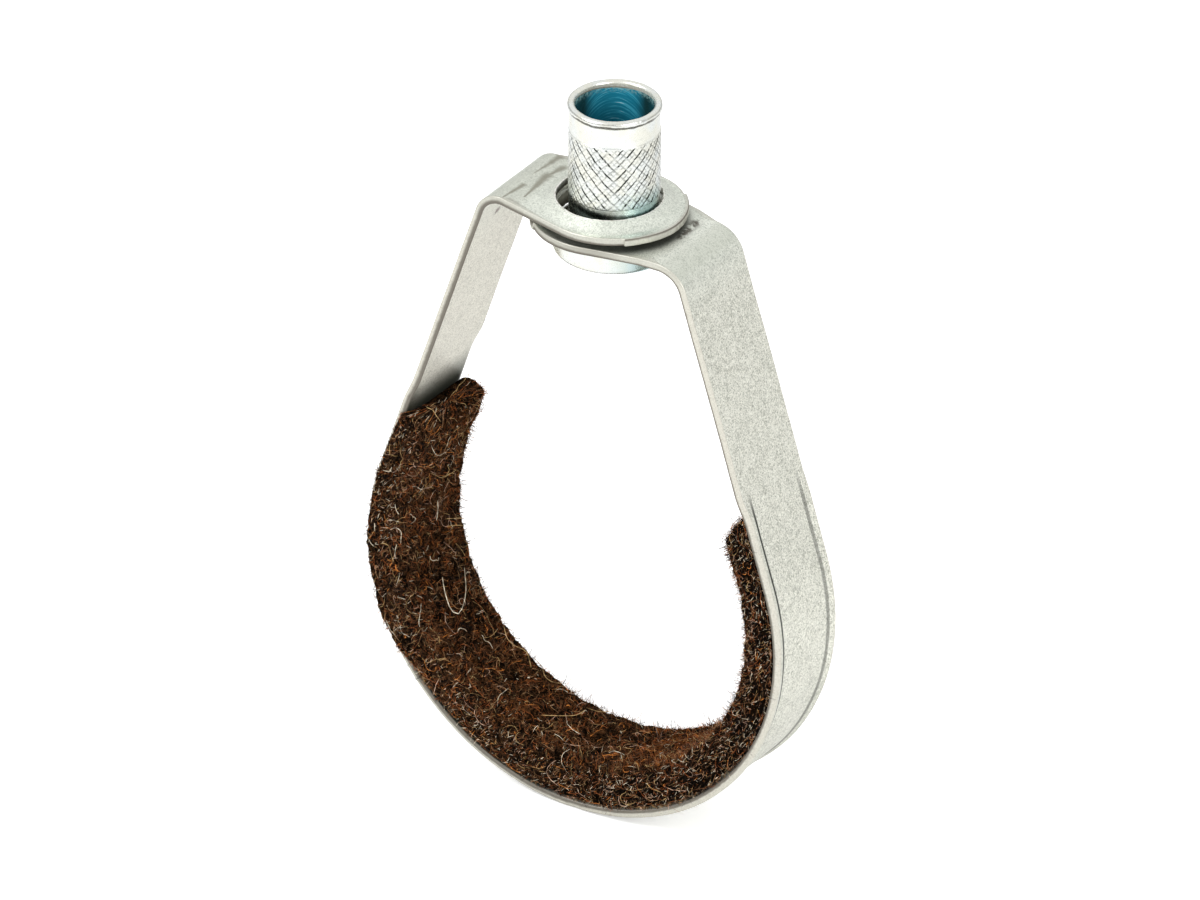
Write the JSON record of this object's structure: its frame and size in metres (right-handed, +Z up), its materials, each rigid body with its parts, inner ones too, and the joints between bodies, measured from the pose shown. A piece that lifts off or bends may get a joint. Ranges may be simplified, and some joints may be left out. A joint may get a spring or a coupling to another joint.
{
  "type": "swivel ring hanger",
  "caption": "Felt-lined steel strip ring that cradles a pipe and swivels on a knurled nut for a threaded hanger rod.",
  "frame": {"origin": "on the hanger rod's axis, at the upper end of the nut's thread", "axes": "+Z up along the hanger rod, +Y along the pipe, +X across the ring"},
  "size_m": [0.073, 0.022, 0.1174],
  "materials": {
    "galvanised_strip": "matt galvanised, fine spangle",
    "brown_felt": "coarse needled hair felt",
    "plated_nut": "bright zinc plate with a blue bore"
  },
  "bodies": {
    "nut": {"swivel_nut": "plated_nut"},
    "ring": {"band": "galvanised_strip", "felt_lining": "brown_felt"}
  },
  "joints": [
    {"name": "ring_swivel", "type": "hinge", "parent": "nut", "child": "ring", "pos_m": [0, 0, 0], "axis": [0, 0, 1], "continuous": true}
  ]
}
